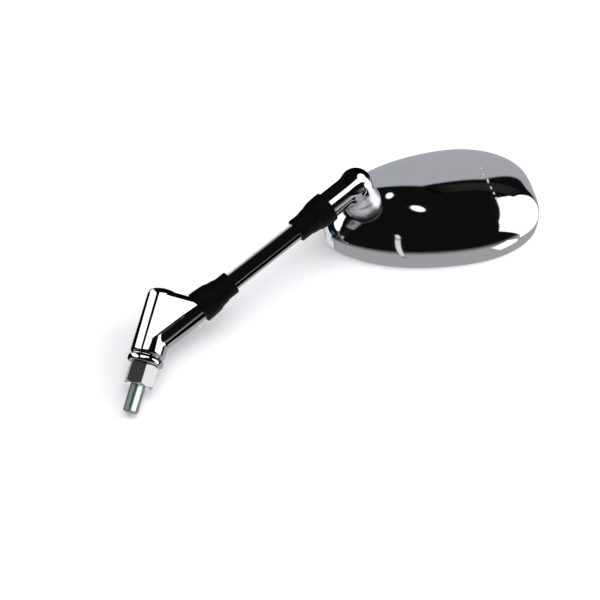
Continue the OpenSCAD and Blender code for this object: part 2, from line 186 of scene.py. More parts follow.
# Rays in the unit disc run from the pocket's middle to the rim. On each ray, the point
# where the dome meets a sphere round the ball is found by halving the span.
def pocketEdge(start, rim, radius, inset):
    lo, hi = np.zeros(len(rim)), np.ones(len(rim))
    mid = np.array(placing["ballInHead"])
    for _ in range(40):
        t = (lo + hi) / 2
        p = domePoint(start + (rim - start) * t[:, None], inset)
        inside = np.linalg.norm(p - mid, axis=1) < radius
        lo, hi = np.where(inside, t, lo), np.where(inside, hi, t)
    return start + (rim - start) * ((lo + hi) / 2)[:, None]


# One skin, closed on itself: rim, skirt, dome, pocket, pocket's back, inner dome, inner skirt
def shellSkin():
    n = shell["columns"]
    angle = np.arange(n) * 2 * math.pi / n
    ball = np.array(placing["ballInHead"])
    startX = ball[0] / (shell["length"] / 2)
    startY = ball[1] / (shell["width"] / 2) / shell["startWide"]
    start = np.array([startX, startY])
    ray = np.stack([np.cos(angle), np.sin(angle)], -1)
    b = ray @ start
    reach = -b + np.sqrt(b * b + 1 - start @ start)
    rim = start + ray * reach[:, None]
    phi = np.arctan2(rim[:, 1], rim[:, 0])
    one = np.ones(n)
    rows = []

    def skirtRow(inset, w):
        x, y = eggPoint(phi, one, inset)
        rows.append(np.stack([x, y, w * one], -1))

    r = shell["rimRound"]
    for a in np.radians(np.linspace(0, 90, shell["rimRows"])):
        skirtRow(shell["tuck"] + r * (1 - math.sin(a)), r * (1 - math.cos(a)))
    for w in np.linspace(r, shell["skirt"], shell["skirtRows"])[1:-1]:
        skirtRow(shell["tuck"], w)
    edge = pocketEdge(start, rim, shell["pocket"], shell["tuck"])
    for t in np.linspace(0, 1, shell["domeRows"]):
        q = rim + (edge - rim) * (t * t * (1 - t) + (1 - (1 - t) ** shell["spacing"]) * t)
        rows.append(domePoint(q, shell["tuck"]))
    lean = placing["pocketLean"]
    axis = turnY(-lean) @ turnX(-placing["pocketTip"]) @ np.array([0, 0, 1.0])
    side = np.cross(axis, [0, 1.0, 0])
    side /= np.linalg.norm(side)
    other = np.cross(axis, side)

    def bowl(fromRow, radius, down):
        u = (fromRow - ball) / radius
        az = np.arctan2(u @ other, u @ side)
        top = np.arccos(np.clip(-(u @ axis), -1, 1))
        low = math.asin(shell["swing"] / radius)
        steps = np.linspace(0, 1, shell["bowlRows"])
        if not down:
            steps = steps[::-1]
        for t in steps:
            a = top + (low - top) * t
            v = (
                -np.cos(a)[:, None] * axis
                + (np.sin(a) * np.cos(az))[:, None] * side
                + (np.sin(a) * np.sin(az))[:, None] * other
            )
            rows.append(ball + radius * v)

    bowl(rows[-1], shell["pocket"], True)
    wall = shell["wall"]
    innerEdge = pocketEdge(start, rim, shell["pocketBack"], wall)
    bowl(domePoint(innerEdge, wall), shell["pocketBack"], False)
    for t in np.linspace(0, 1, shell["innerRows"])[1:]:
        q = innerEdge + (rim - innerEdge) * (1 - (1 - t) ** 2)
        rows.append(domePoint(q, wall))
    for w in np.linspace(shell["skirt"], 0, shell["innerSkirtRows"])[1:]:
        skirtRow(wall, w)
    piece = gridMesh("shell_skin", inHead(np.array(rows)), wrapRows=True)
    return weldClose(piece)


shellPiece = shellSkin()
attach(shellPiece, "head")
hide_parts("back_shell")
print("shell skin:", len(shellPiece.data.polygons), "faces")


# The stud with its thread
studShape = {
    "radius": 5.0,
    "pitch": 1.25,
    "depth": 0.62,
    "crest": 1.12,
    "flank": 1.25,
    "low": -17.0,
    "high": 36.3,
    "tip": 1.2,
}


# The radius is the outer one less the depth times a rounded saw of height minus turn
def threadedStud():
    around, perTurn = 48, 14
    z = np.arange(
        studShape["low"], studShape["high"] + 1e-6, studShape["pitch"] / perTurn
    )
    ang = np.arange(around) * 2 * math.pi / around
    zz, aa = np.meshgrid(z, ang, indexing="ij")
    wave = ((zz / studShape["pitch"] - aa / (2 * math.pi)) % 1.0) * 2 - 1
    cut = np.clip(studShape["crest"] - studShape["flank"] * np.abs(wave), 0, 1)
    r = studShape["radius"] - studShape["depth"] * cut
    fromTip = zz - studShape["low"]
    r = np.minimum(r, studShape["radius"] - studShape["tip"] + fromTip)
    grid = np.stack([r * np.cos(aa), r * np.sin(aa), zz], -1)
    cap = np.zeros((1, around, 3))
    bottom, top = cap.copy(), cap.copy()
    bottom[..., 2], top[..., 2] = z[0], z[-1]
    piece = gridMesh("threaded_stud", np.concatenate([bottom, grid, top]))
    return weldClose(piece, sharp=50)


studPiece = threadedStud()
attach(studPiece, "base")
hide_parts("stud")


# The two rubber boots, which share one profile
boot = {
    "mouth": 21.2,
    "middle": 20.0,
    "collar": 15.9,
    "length": 27.0,
    "wide": 11.5,
    "collarLen": 8.5,
    "bore": 12.2,
    "wall": 1.2,
    "lowerMouth": 39.0,
    "upperMouth": 147.0,
}


# Smooths a profile of points (radius, height): each pass cuts every corner at a quarter and
# three quarters of its two edges
def smoothProfile(points, passes=3):
    p = np.array(points, float)
    for _ in range(passes):
        a, b = p[:-1], p[1:]
        cut = np.stack([0.75 * a + 0.25 * b, 0.25 * a + 0.75 * b], 1).reshape(-1, 2)
        p = np.concatenate([p[:1], cut, p[-1:]])
    return p


# Turns a profile round the axis, then places it in the row
def turned(name, profile, place, around=96, sharp=40):
    ang = np.arange(around) * 2 * math.pi / around
    r, z = profile[:, :1], profile[:, 1:]
    grid = np.stack([r * np.cos(ang), r * np.sin(ang), z * np.ones(around)], -1)
    return weldClose(gridMesh(name, place(grid)), sharp=sharp)


def bootProfile():
    m, c, k = boot["mouth"] / 2, boot["collar"] / 2, boot["length"]
    coneEnd = k - boot["collarLen"]
    outer = [
        (m - boot["wall"] + 0.3, 0),
        (m - 0.7, 0),
        (m, 0.15),
        (m, 1.6),
        (m - 0.1, 5),
        (boot["middle"] / 2 + 0.1, boot["wide"] - 1.5),
        (boot["middle"] / 2 - 0.25, boot["wide"] + 0.4),
        (boot["middle"] / 2 - 1.1, boot["wide"] + 2.2),
        (c + 0.7, coneEnd - 1.2),
        (c + 0.05, coneEnd + 0.5),
        (c - 0.05, coneEnd + 3.0),
        (c, k - 1.4),
        (c, k - 0.25),
        (c - 0.7, k),
        (boot["bore"] / 2 + 0.2, k),
    ]
    inner = [
        (boot["bore"] / 2, k - 0.3),
        (boot["bore"] / 2, boot["wide"] + 2.5),
        (m - boot["wall"], boot["wide"] - 1.6),
        (m - boot["wall"], 0.4),
    ]
    ring = np.concatenate([smoothProfile(outer), np.array(inner), np.array(outer[:1])])
    return ring


def lowerPlace(grid):
    return alongStem(grid + np.array([0, 0, boot["lowerMouth"]]))


def upperPlace(grid):
    return alongStem(grid * np.array([1, 1, -1]) + np.array([0, 0, boot["upperMouth"]]))


lowerBoot = turned("lower_boot_skin", bootProfile(), lowerPlace)
upperBoot = turned("upper_boot_skin", bootProfile(), upperPlace)
for piece, body in ((lowerBoot, "lower_boot"), (upperBoot, "upper_boot")):
    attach(piece, body)
    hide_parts(body)
print("stud and boots made")


# Skin of a casting: the zero level of a field over a grid of points, in mm. Each grid cell
# that the level crosses gets one point, faces join the cells round each crossed edge, and
# the points are then moved onto the level along the field's slope.
def levelSkin(name, field, low, high, step):
    low, high = np.array(low, float), np.array(high, float)
    n = np.ceil((high - low) / step).astype(int) + 1
    axes = [low[k] + step * np.arange(n[k]) for k in range(3)]
    pts = np.stack(np.meshgrid(*axes, indexing="ij"), -1)
    f = field(pts.reshape(-1, 3)).reshape(n)
    cells = n - 1
    total = np.zeros((*cells, 3))
    count = np.zeros(cells)
    edges = []
    for k in range(3):
        a = np.take(f, range(n[k] - 1), axis=k)
        b = np.take(f, range(1, n[k]), axis=k)
        crossed = (a < 0) != (b < 0)
        i = np.argwhere(crossed)
        fa, fb = a[crossed], b[crossed]
        at = np.take(pts, range(n[k] - 1), axis=k)[crossed]
        at[:, k] += step * fa / (fa - fb)
        o1, o2 = (k + 1) % 3, (k + 2) % 3
        around = []
        for d1, d2 in ((-1, -1), (0, -1), (0, 0), (-1, 0)):
            cell = i.copy()
            cell[:, o1] += d1
            cell[:, o2] += d2
            np.add.at(total, tuple(cell.T), at)
            np.add.at(count, tuple(cell.T), 1)
            around.append(np.ravel_multi_index(tuple(cell.T), cells))
        quad = np.stack(around, -1)
        edges.append(np.where((fa < 0)[:, None], quad, quad[:, ::-1]))
    used = count.ravel() > 0
    index = np.cumsum(used) - 1
    p = total.reshape(-1, 3)[used] / count.ravel()[used, None]
    faces = index[np.concatenate(edges)]

    def slope(q):
        d = 0.01
        g = [(field(q + d * e) - field(q - d * e)) / (2 * d) for e in np.eye(3)]
        return np.stack(g, -1)

    for _ in range(4):
        g = slope(p)
        move = g * (field(p) / np.maximum((g * g).sum(-1), 0.05))[:, None]
        p = p - np.clip(move, -step / 2, step / 2)
    mesh = bpy.data.meshes.new(name)
    mesh.from_pydata((p * mm).tolist(), [], faces.tolist())
    mesh.validate()
    mesh.shade_smooth()
    g = slope(p)
    normals = g / np.maximum(np.linalg.norm(g, axis=1), 1e-9)[:, None]
    mesh.normals_split_custom_set_from_vertices(normals.tolist())
    piece = bpy.data.objects.new(name, mesh)
    bpy.context.scene.collection.objects.link(piece)
    return piece


# Joins and cuts of fields that round the corner between them over about k mm
def softMin(a, b, k):
    h = np.clip(0.5 + 0.5 * (b - a) / k, 0, 1)
    return b + (a - b) * h - k * h * (1 - h)


def softMax(a, b, k):
    return -softMin(-a, -b, k)


# Frames: points of the row seen along the stem, or from the knuckle's boss
def inStem(p):
    return (p - stemFoot) @ stemTurn


def inBoss(p):
    return (p - knuckleMid) @ bossTurn


elbow = {
    "foot": 14.3,
    "towerR": 11.0,
    "shoulder": 61.2,
    "dome": 3.4,
    "round": 2.2,
    "beadH": 4.2,
    "beadOut": 0.38,
    "grooveH": 1.4,
    "grooveDeep": 1.1,
    "armR": 8.4,
    "armLen": 40.5,
    "webEnd": 38.7,
    "webLean": 0.12,
    "webOver": 0.6,
    "webRound": 5.0,
    "blend": 0.8,
    "studR": 5.02,
    "rodR": 5.3,
    "rodDeep": 15,
    "beadPower": 3,
    "beadBlend": 0.7,
    "wallRound": 1.8,
    "armBack": 2,
    "webEdge": 0.8,
    "webRise": 1.2,
    "webEndRound": 0.6,
    "low": (-13, -13, 13),
    "high": (37, 13, 68),
}


def elbowField(p):
    e = elbow
    x, y, z = p.T
    rho = np.hypot(x, y)
    half = e["beadH"] / 2
    neck = e["towerR"] - e["grooveDeep"]
    bulge = e["grooveDeep"] + e["beadOut"]
    power = e["beadPower"]
    beadUp = (np.abs(z - e["foot"] - half) / half) ** power
    bead = beadUp + (np.maximum(rho - neck, 0) / bulge) ** power
    bead = (np.maximum(bead, 1e-9) ** (1 / power) - 1) * bulge
    core = rho - neck
    start = e["foot"] + e["beadH"] + e["grooveH"]
    wall = softMax(rho - e["towerR"], start - z, e["wallRound"])
    wall = softMin(np.minimum(wall, bead), core, e["beadBlend"])
    sphere = (e["towerR"] ** 2 + e["dome"] ** 2) / (2 * e["dome"])
    top = np.hypot(rho, np.maximum(z - (e["shoulder"] + e["dome"] - sphere), 0)) - sphere
    tower = np.maximum(softMax(wall, top, e["round"]), e["foot"] - z)
    s = inStem(p)
    armWall = np.hypot(s[:, 0], s[:, 1]) - e["armR"]
    arm = np.maximum(np.maximum(armWall, s[:, 2] - e["armLen"]), -s[:, 2] - e["armBack"])
    # The web fills between the tower and the arm: its flat sides touch the tower's round
    lean = e["webLean"]
    level = math.sqrt(1 - lean * lean)
    side = np.abs(y) * level + x * lean - e["towerR"]
    a = np.array([0.0, 0.0, e["shoulder"] + e["webRise"]])
    endAt = stemFoot + e["webEnd"] * stemAlong + e["armR"] * stemTurn[:, 0] * -1
    edge = endAt - a
    normal = np.array([-edge[2], 0, edge[0]]) / np.hypot(edge[0], edge[2])
    upper = (p - a) @ normal
    web = softMax(side, s[:, 0] - e["webOver"], e["webEdge"])
    web = softMax(web, upper, e["webRound"])
    web = softMax(web, s[:, 2] - e["webEnd"], e["webEndRound"])
    web = np.maximum(web, e["towerR"] * lean - x)
    body = softMin(np.minimum(tower, web), arm, e["blend"])
    bore = np.maximum(rho - e["studR"], z - studShape["high"])
    hole = np.maximum(np.hypot(s[:, 0], s[:, 1]) - e["rodR"], e["armLen"] - e["rodDeep"] - s[:, 2])
    return np.maximum(np.maximum(body, -bore), -hole)


knuckle = {
    "tubeR": 9.15,
    "endR": 10.9,
    "face": 145.5,
    "ballR": 12.6,
    "ballFlat": 10.912,
    "endBlend": 1.4,
    "blend": 4.0,
    "rodR": 5.3,
    "rodDeep": 15,
    "screwR": 3.02,
    "screwDeep": 13,
    "bossR": 10.5,
    "flare": 2.1,
    "satinFrom": 3.0,
    "satinOver": 4,
    "satinExtra": 0.32,
    "aroundBall": 14,
    "aroundTube": 11,
}


def knuckleField(p):
    k = knuckle
    s, b = inStem(p), inBoss(p)
    tube = np.hypot(s[:, 0], s[:, 1]) - k["tubeR"]
    tube = np.maximum(np.maximum(tube, k["face"] - s[:, 2]), s[:, 2] - placing["knuckleDist"])
    end = np.linalg.norm(b, axis=1) - k["endR"]
    rho = np.hypot(b[:, 0], b[:, 1])
    ballAt = placing["ballDist"]
    flare = k["bossR"] + k["flare"] * np.clip(b[:, 2] / ballAt, 0, 1) ** 2
    boss = np.maximum(np.maximum(rho - flare, -b[:, 2]), b[:, 2] - ballAt)
    ball = np.maximum(
        np.linalg.norm(b - np.array([0, 0, ballAt]), axis=1) - k["ballR"],
        b[:, 2] - ballAt - k["ballFlat"],
    )
    body = softMin(softMin(tube, boss, k["blend"]), end, k["endBlend"])
    body = np.minimum(body, ball)
    hole = np.maximum(np.hypot(s[:, 0], s[:, 1]) - k["rodR"], s[:, 2] - k["face"] - k["rodDeep"])
    screw = np.maximum(rho - k["screwR"], ballAt + k["ballFlat"] - k["screwDeep"] - b[:, 2])
    return np.maximum(np.maximum(body, -hole), -screw)


skinStep = 0.4
elbowSkin = levelSkin("elbow_skin", elbowField, elbow["low"], elbow["high"], skinStep)
tubeFace = stemFoot + knuckle["face"] * stemAlong
margins = (
    (knuckleMid, knuckle["aroundBall"]),
    (ballMid, knuckle["aroundBall"]),
    (tubeFace, knuckle["aroundTube"]),
)
spread = np.stack([p + sign * margin for p, margin in margins for sign in (1, -1)])
knuckleSkin = levelSkin(
    "knuckle_skin", knuckleField, spread.min(0), spread.max(0), skinStep
)
points = np.empty(len(knuckleSkin.data.vertices) * 3)
knuckleSkin.data.vertices.foreach_get("co", points)
bossHeight = inBoss(points.reshape(-1, 3) / mm)[:, 2]
satin = np.clip((bossHeight - knuckle["satinFrom"]) / knuckle["satinOver"], 0, 1)
satinStore = knuckleSkin.data.attributes.new("satin", "FLOAT", "POINT")
satinStore.data.foreach_set("value", satin)
for piece, body, replaced in (
    (elbowSkin, "base", "elbow"),
    (knuckleSkin, "knuckle", "knuckle"),
):
    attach(piece, body)
    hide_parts(replaced)
print("casting skins:", len(elbowSkin.data.polygons), len(knuckleSkin.data.polygons), "faces")


# Node groups that the materials share
def newGroup(name, inputs, outputs):
    group = bpy.data.node_groups.new(name, "ShaderNodeTree")
    for label, kind, value in inputs:
        sock = group.interface.new_socket(label, in_out="INPUT", socket_type=kind)
        sock.default_value = value
    for label, kind in outputs:
        group.interface.new_socket(label, in_out="OUTPUT", socket_type=kind)
    return group, group.nodes.new("NodeGroupInput"), group.nodes.new("NodeGroupOutput")


def link(tree, a, aName, b, bName):
    tree.links.new(a.outputs[aName], b.inputs[bName])


def mathNode(tree, kind, a=None, b=None, clamp=False):
    node = tree.nodes.new("ShaderNodeMath")
    node.operation = kind
    node.use_clamp = clamp
    for k, value in enumerate((a, b)):
        if value is None:
            continue
        if isinstance(value, (int, float)):
            node.inputs[k].default_value = value
        else:
            tree.links.new(value, node.inputs[k])
    return node.outputs[0]


def noiseNode(tree, vector, scale, detail=3.0, rough=0.5):
    node = tree.nodes.new("ShaderNodeTexNoise")
    tree.links.new(vector, node.inputs["Vector"])
    if isinstance(scale, (int, float)):
        node.inputs["Scale"].default_value = scale
    else:
        tree.links.new(scale, node.inputs["Scale"])
    node.inputs["Detail"].default_value = detail
    node.inputs["Roughness"].default_value = rough
    return node.outputs["Fac"]


# Spread of a value around a middle by noise: value = middle + spread * (noise - 0.5)
def makeSpreadGroup():
    group, gin, gout = newGroup(
        "speckle",
        [
            ("Vector", "NodeSocketVector", (0, 0, 0)),
            ("Scale", "NodeSocketFloat", 200.0),
            ("Middle", "NodeSocketFloat", 0.3),
            ("Spread", "NodeSocketFloat", 0.1),
        ],
        [("Value", "NodeSocketFloat"), ("Fine", "NodeSocketFloat")],
    )
    coarse = noiseNode(group, gin.outputs["Vector"], gin.outputs["Scale"], 4.0, 0.6)
    fineScale = mathNode(group, "MULTIPLY", gin.outputs["Scale"], 9.0)
    fine = noiseNode(group, gin.outputs["Vector"], fineScale, 2.0, 0.5)
    off = mathNode(group, "SUBTRACT", coarse, 0.5)
    times = mathNode(group, "MULTIPLY", off, gin.outputs["Spread"])
    total = mathNode(group, "ADD", times, gin.outputs["Middle"], clamp=True)
    group.links.new(total, gout.inputs["Value"])
    group.links.new(fine, gout.inputs["Fine"])
    return group


# Colour that drifts between two tones by a slow noise
def makeTintGroup():
    group, gin, gout = newGroup(
        "tintDrift",
        [
            ("Vector", "NodeSocketVector", (0, 0, 0)),
            ("Scale", "NodeSocketFloat", 40.0),
            ("First", "NodeSocketColor", (1, 1, 1, 1)),
            ("Second", "NodeSocketColor", (1, 1, 1, 1)),
        ],
        [("Color", "NodeSocketColor")],
    )
    slow = noiseNode(group, gin.outputs["Vector"], gin.outputs["Scale"], 3.0, 0.55)
    mix = group.nodes.new("ShaderNodeMix")
    mix.data_type = "RGBA"
    group.links.new(slow, mix.inputs[0])
    group.links.new(gin.outputs["First"], mix.inputs[6])
    group.links.new(gin.outputs["Second"], mix.inputs[7])
    group.links.new(mix.outputs[2], gout.inputs["Color"])
    return group


speckle = makeSpreadGroup()
tintDrift = makeTintGroup()


def finishMaterial(name, look):
    mat = bpy.data.materials.new(name)
    mat.use_nodes = True
    tree = mat.node_tree
    bsdf = tree.nodes["Principled BSDF"]
    coord = tree.nodes.new("ShaderNodeTexCoord")
    rough = tree.nodes.new("ShaderNodeGroup")
    rough.node_tree = speckle
    link(tree, coord, "Object", rough, "Vector")
    rough.inputs["Scale"].default_value = look["scale"]
    rough.inputs["Middle"].default_value = look["rough"]
    rough.inputs["Spread"].default_value = look["roughSpread"]
    link(tree, rough, "Value", bsdf, "Roughness")
    tint = tree.nodes.new("ShaderNodeGroup")
    tint.node_tree = tintDrift
    link(tree, coord, "Object", tint, "Vector")
    tint.inputs["Scale"].default_value = look["tintScale"]
    tint.inputs["First"].default_value = (*look["first"], 1)
    tint.inputs["Second"].default_value = (*look["second"], 1)
    link(tree, tint, "Color", bsdf, "Base Color")
    bump = tree.nodes.new("ShaderNodeBump")
    bump.inputs["Strength"].default_value = look["bump"]
    bump.inputs["Distance"].default_value = look["bumpDepth"] * mm
    link(tree, rough, "Fine", bump, "Height")
    link(tree, bump, "Normal", bsdf, "Normal")
    bsdf.inputs["Metallic"].default_value = look["metal"]
    bsdf.inputs["Specular IOR Level"].default_value = look.get("spec", 0.5)
    bsdf.inputs["Coat Weight"].default_value = look.get("coat", 0.0)
    bsdf.inputs["Coat Roughness"].default_value = look.get("coatRough", 0.05)
    return mat


looks = {
    "chromePlate": {
        "first": (0.80, 0.81, 0.83), "second": (0.84, 0.85, 0.865), "tintScale": 60,
        "rough": 0.035, "roughSpread": 0.03, "scale": 90,
        "bump": 0.02, "bumpDepth": 0.02, "metal": 1.0,
    },
    "platedNut": {
        "first": (0.74, 0.75, 0.77), "second": (0.80, 0.81, 0.82), "tintScale": 200,
        "rough": 0.14, "roughSpread": 0.12, "scale": 400,
        "bump": 0.06, "bumpDepth": 0.03, "metal": 1.0,
    },
    "zincSteel": {
        "first": (0.52, 0.56, 0.54), "second": (0.66, 0.69, 0.68), "tintScale": 300,
        "rough": 0.24, "roughSpread": 0.16, "scale": 600,
        "bump": 0.1, "bumpDepth": 0.04, "metal": 1.0,
    },
    "bootRubber": {
        "first": (0.0015, 0.0015, 0.0018), "second": (0.0045, 0.0045, 0.005), "tintScale": 120,
        "rough": 0.42, "roughSpread": 0.14, "scale": 500,
        "bump": 0.12, "bumpDepth": 0.05, "metal": 0.0,
        "spec": 0.22,
    },
    "springSteel": {
        "first": (0.2, 0.2, 0.21), "second": (0.3, 0.3, 0.31), "tintScale": 300,
        "rough": 0.35, "roughSpread": 0.15, "scale": 600,
        "bump": 0.08, "bumpDepth": 0.03, "metal": 1.0,
    },
    # Near-black friction ring: partly its own dark plastic, partly painted shade, since its colour
    # darkens the crease where the ball sits in the shell's pocket
    "darkRingAndCreaseShade": {
        "first": (0.02, 0.02, 0.021), "second": (0.035, 0.035, 0.036), "tintScale": 200,
        "rough": 0.42, "roughSpread": 0.12, "scale": 500,
        "bump": 0.05, "bumpDepth": 0.03, "metal": 0.0,
    },
    "carrierPlastic": {
        "first": (0.018, 0.018, 0.02), "second": (0.03, 0.03, 0.032), "tintScale": 80,
        "rough": 0.5, "roughSpread": 0.15, "scale": 700,
        "bump": 0.25, "bumpDepth": 0.06, "metal": 0.0,
    },
    "foamPad": {
        "first": (0.02, 0.02, 0.022), "second": (0.04, 0.04, 0.042), "tintScale": 400,
        "rough": 0.85, "roughSpread": 0.1, "scale": 900,
        "bump": 0.5, "bumpDepth": 0.15, "metal": 0.0,
    },
    "mirrorSilver": {
        "first": (0.83, 0.87, 0.88), "second": (0.86, 0.895, 0.9), "tintScale": 20,
        "rough": 0.012, "roughSpread": 0.01, "scale": 40,
        "bump": 0.0, "bumpDepth": 0.01, "metal": 1.0,
        "coat": 0.5, "coatRough": 0.01,
    },
    "gasketRubber": {
        "first": (0.012, 0.012, 0.013), "second": (0.022, 0.022, 0.023), "tintScale": 150,
        "rough": 0.55, "roughSpread": 0.15, "scale": 600,
        "bump": 0.15, "bumpDepth": 0.04, "metal": 0.0,
    },
}
made = {name: finishMaterial(name, look) for name, look in looks.items()}

# The knuckle's chrome is satin on the boss, where the plating is left unpolished
made["chromeKnuckle"] = finishMaterial("chromeKnuckle", looks["chromePlate"])
bossTree = made["chromeKnuckle"].node_tree
roughIn = bossTree.nodes["Principled BSDF"].inputs["Roughness"]
polished = roughIn.links[0].from_socket
satinMask = bossTree.nodes.new("ShaderNodeAttribute")
satinMask.attribute_name = "satin"
extra = mathNode(bossTree, "MULTIPLY", satinMask.outputs["Fac"], knuckle["satinExtra"])
bossTree.links.new(mathNode(bossTree, "ADD", polished, extra, clamp=True), roughIn)

wearing = {
    "chromePlate": ["elbow", "stem_rod", "knuckle", "back_shell"],
    "platedNut": ["lock_nut"],
    "zincSteel": [
        "stud", "lower_jam_nut", "upper_jam_nut", "pivot_screw", "pressure_cup", "pivot_washer",
        "carrier_screws",
    ],
    "bootRubber": ["lower_boot", "upper_boot"],
    "springSteel": ["disc_springs"],
    # The friction ring's near-black colour also paints the shade in the crease round the ball
    "darkRingAndCreaseShade": ["friction_ring"],
    "carrierPlastic": ["carrier_plate"],
    "foamPad": ["glass_pad"],
    "mirrorSilver": ["mirror_glass"],
    "gasketRubber": ["glass_gasket"],
}
for name, nodes in wearing.items():
    for node in nodes:
        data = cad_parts[node].data
        data.materials.clear()
        data.materials.append(made[name])
for piece, name in (
    (shellPiece, "chromePlate"),
    (studPiece, "zincSteel"),
    (lowerBoot, "bootRubber"),
    (upperBoot, "bootRubber"),
    (elbowSkin, "chromePlate"),
    (knuckleSkin, "chromeKnuckle"),
):
    piece.data.materials.append(made[name])
print("materials made:", len(made))


# The studio: distances in metres, angles in degrees
studio = {
    "cameraAt": (0.128819, -0.609557, -0.102597),
    "cameraRight": (0.971009, 0.0, 0.239045),
    "cameraUp": (-0.228600, -0.292372, 0.928581),
    "cameraBack": (0.069890, -0.956305, -0.283895),
    "lens": 60,
    "tableNormal": tuple(headTurn[:, 2]),
    "tableDrop": 0.0004,
    "tableHalf": 2.5,
    "paneFar": 2.4,
    "lampFar": 1.0,
    "belowGrey": 0.40,
    "blackRoom": 0.005,
    "darkSide": (-10, 12),
    "greyFrom": 118,
    "blackFrom": 88,
    "worldLight": 0.26,
    "paper": (0.93, 0.92, 0.95),
    "glow": (0.985, 0.975, 1),
    "glowLight": 0.17,
    "depthLimit": 2.5,
    "sensor": 36,
    "clip": (0.01, 20),
}

camData = bpy.data.cameras.new("studioCamera")
camera = bpy.data.objects.new("studioCamera", camData)
bpy.context.scene.collection.objects.link(camera)
camData.lens = studio["lens"]
camData.sensor_width = studio["sensor"]
camData.clip_start, camData.clip_end = studio["clip"]
pose = Matrix.Identity(4)
for col, key in enumerate(("cameraRight", "cameraUp", "cameraBack", "cameraAt")):
    for row in range(3):
        pose[row][col] = studio[key][row]
camera.matrix_world = pose
bpy.context.scene.camera = camera

# Directions of the table: out is its normal toward the camera, across and along lie in it
out = Vector(studio["tableNormal"]).normalized()
right = Vector(studio["cameraRight"])
across = (right - out * right.dot(out)).normalized()
along = out.cross(across).normalized()
tableMid = Vector(headMid * mm) - out * studio["tableDrop"]


def tableMatrix(origin):
    m = Matrix.Identity(4)
    for col, axis in enumerate((across, along, out)):
        for row in range(3):
            m[row][col] = axis[row]
    m.translation = origin
    return m


# Directions are read off a flat chart of the dome over the table: the distance from the
# chart's middle is the angle from the table's normal, in degrees
def chartDir(x, y):
    p, a = math.radians(math.hypot(x, y)), math.atan2(y, x)
    return (
        out * math.cos(p) + (across * math.cos(a) + along * math.sin(a)) * math.sin(p)
    ).normalized()


half = studio["tableHalf"]
tableMesh = bpy.data.meshes.new("table")
tableMesh.from_pydata(
    [(-half, -half, 0), (half, -half, 0), (half, half, 0), (-half, half, 0)], [], [(0, 1, 2, 3)]
)
table = bpy.data.objects.new("table", tableMesh)
bpy.context.scene.collection.objects.link(table)
table.matrix_world = tableMatrix(tableMid)
table.visible_diffuse = False
table.visible_glossy = False
table.visible_shadow = False

# The table is pale and matt, glows a little for the camera, and is clear from behind
tableMat = bpy.data.materials.new("tablePaper")
tableMat.use_nodes = True
paperTree = tableMat.node_tree
paperTree.nodes.clear()
outNode = paperTree.nodes.new("ShaderNodeOutputMaterial")
paths = paperTree.nodes.new("ShaderNodeLightPath")
geo = paperTree.nodes.new("ShaderNodeNewGeometry")
paper = paperTree.nodes.new("ShaderNodeBsdfDiffuse")
paper.inputs["Color"].default_value = (*studio["paper"], 1)
glow = paperTree.nodes.new("ShaderNodeEmission")
glow.inputs["Color"].default_value = (*studio["glow"], 1)
seen = mathNode(paperTree, "MULTIPLY", paths.outputs["Is Camera Ray"], studio["glowLight"])
paperTree.links.new(seen, glow.inputs["Strength"])
lit = paperTree.nodes.new("ShaderNodeAddShader")
paperTree.links.new(paper.outputs[0], lit.inputs[0])
paperTree.links.new(glow.outputs[0], lit.inputs[1])
clear = paperTree.nodes.new("ShaderNodeBsdfTransparent")
mixer = paperTree.nodes.new("ShaderNodeMixShader")
paperTree.links.new(geo.outputs["Backfacing"], mixer.inputs[0])
paperTree.links.new(lit.outputs[0], mixer.inputs[1])
paperTree.links.new(clear.outputs[0], mixer.inputs[2])
paperTree.links.new(mixer.outputs[0], outNode.inputs["Surface"])
tableMesh.materials.append(tableMat)


# Pieces that share one set of lights
def lightGroup(name, pieces):
    group = bpy.data.collections.new(name)
    for piece in pieces:
        group.objects.link(piece)
    return group


plainWhite = (0.98, 0.985, 1.0)
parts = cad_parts
headLit = lightGroup("headLit", [shellPiece, parts["mirror_glass"], parts["glass_gasket"]])
elbowLit = lightGroup("elbowLit", [elbowSkin])
nutLit = lightGroup("nutLit", [parts["lock_nut"]])
studLit = lightGroup("studLit", [studPiece])
rodLit = lightGroup("rodLit", [parts["stem_rod"]])
knuckleLit = lightGroup("knuckleLit", [knuckleSkin])

paneMats = {}


# Light of a pane: its strength times the share stored at its corners
def paneMaterial(strength, color):
    key = (strength, color)
    if key not in paneMats:
        mat = bpy.data.materials.new("paneLight%d" % len(paneMats))
        mat.use_nodes = True
        nt = mat.node_tree
        nt.nodes.clear()
        end = nt.nodes.new("ShaderNodeOutputMaterial")
        share = nt.nodes.new("ShaderNodeAttribute")
        share.attribute_name = "share"
        light = nt.nodes.new("ShaderNodeEmission")
        light.inputs["Color"].default_value = (*color, 1)
        nt.links.new(mathNode(nt, "MULTIPLY", share.outputs["Fac"], strength), light.inputs[1])
        nt.links.new(light.outputs[0], end.inputs["Surface"])
        mat.cycles.emission_sampling = "NONE"
        paneMats[key] = mat
    return paneMats[key]


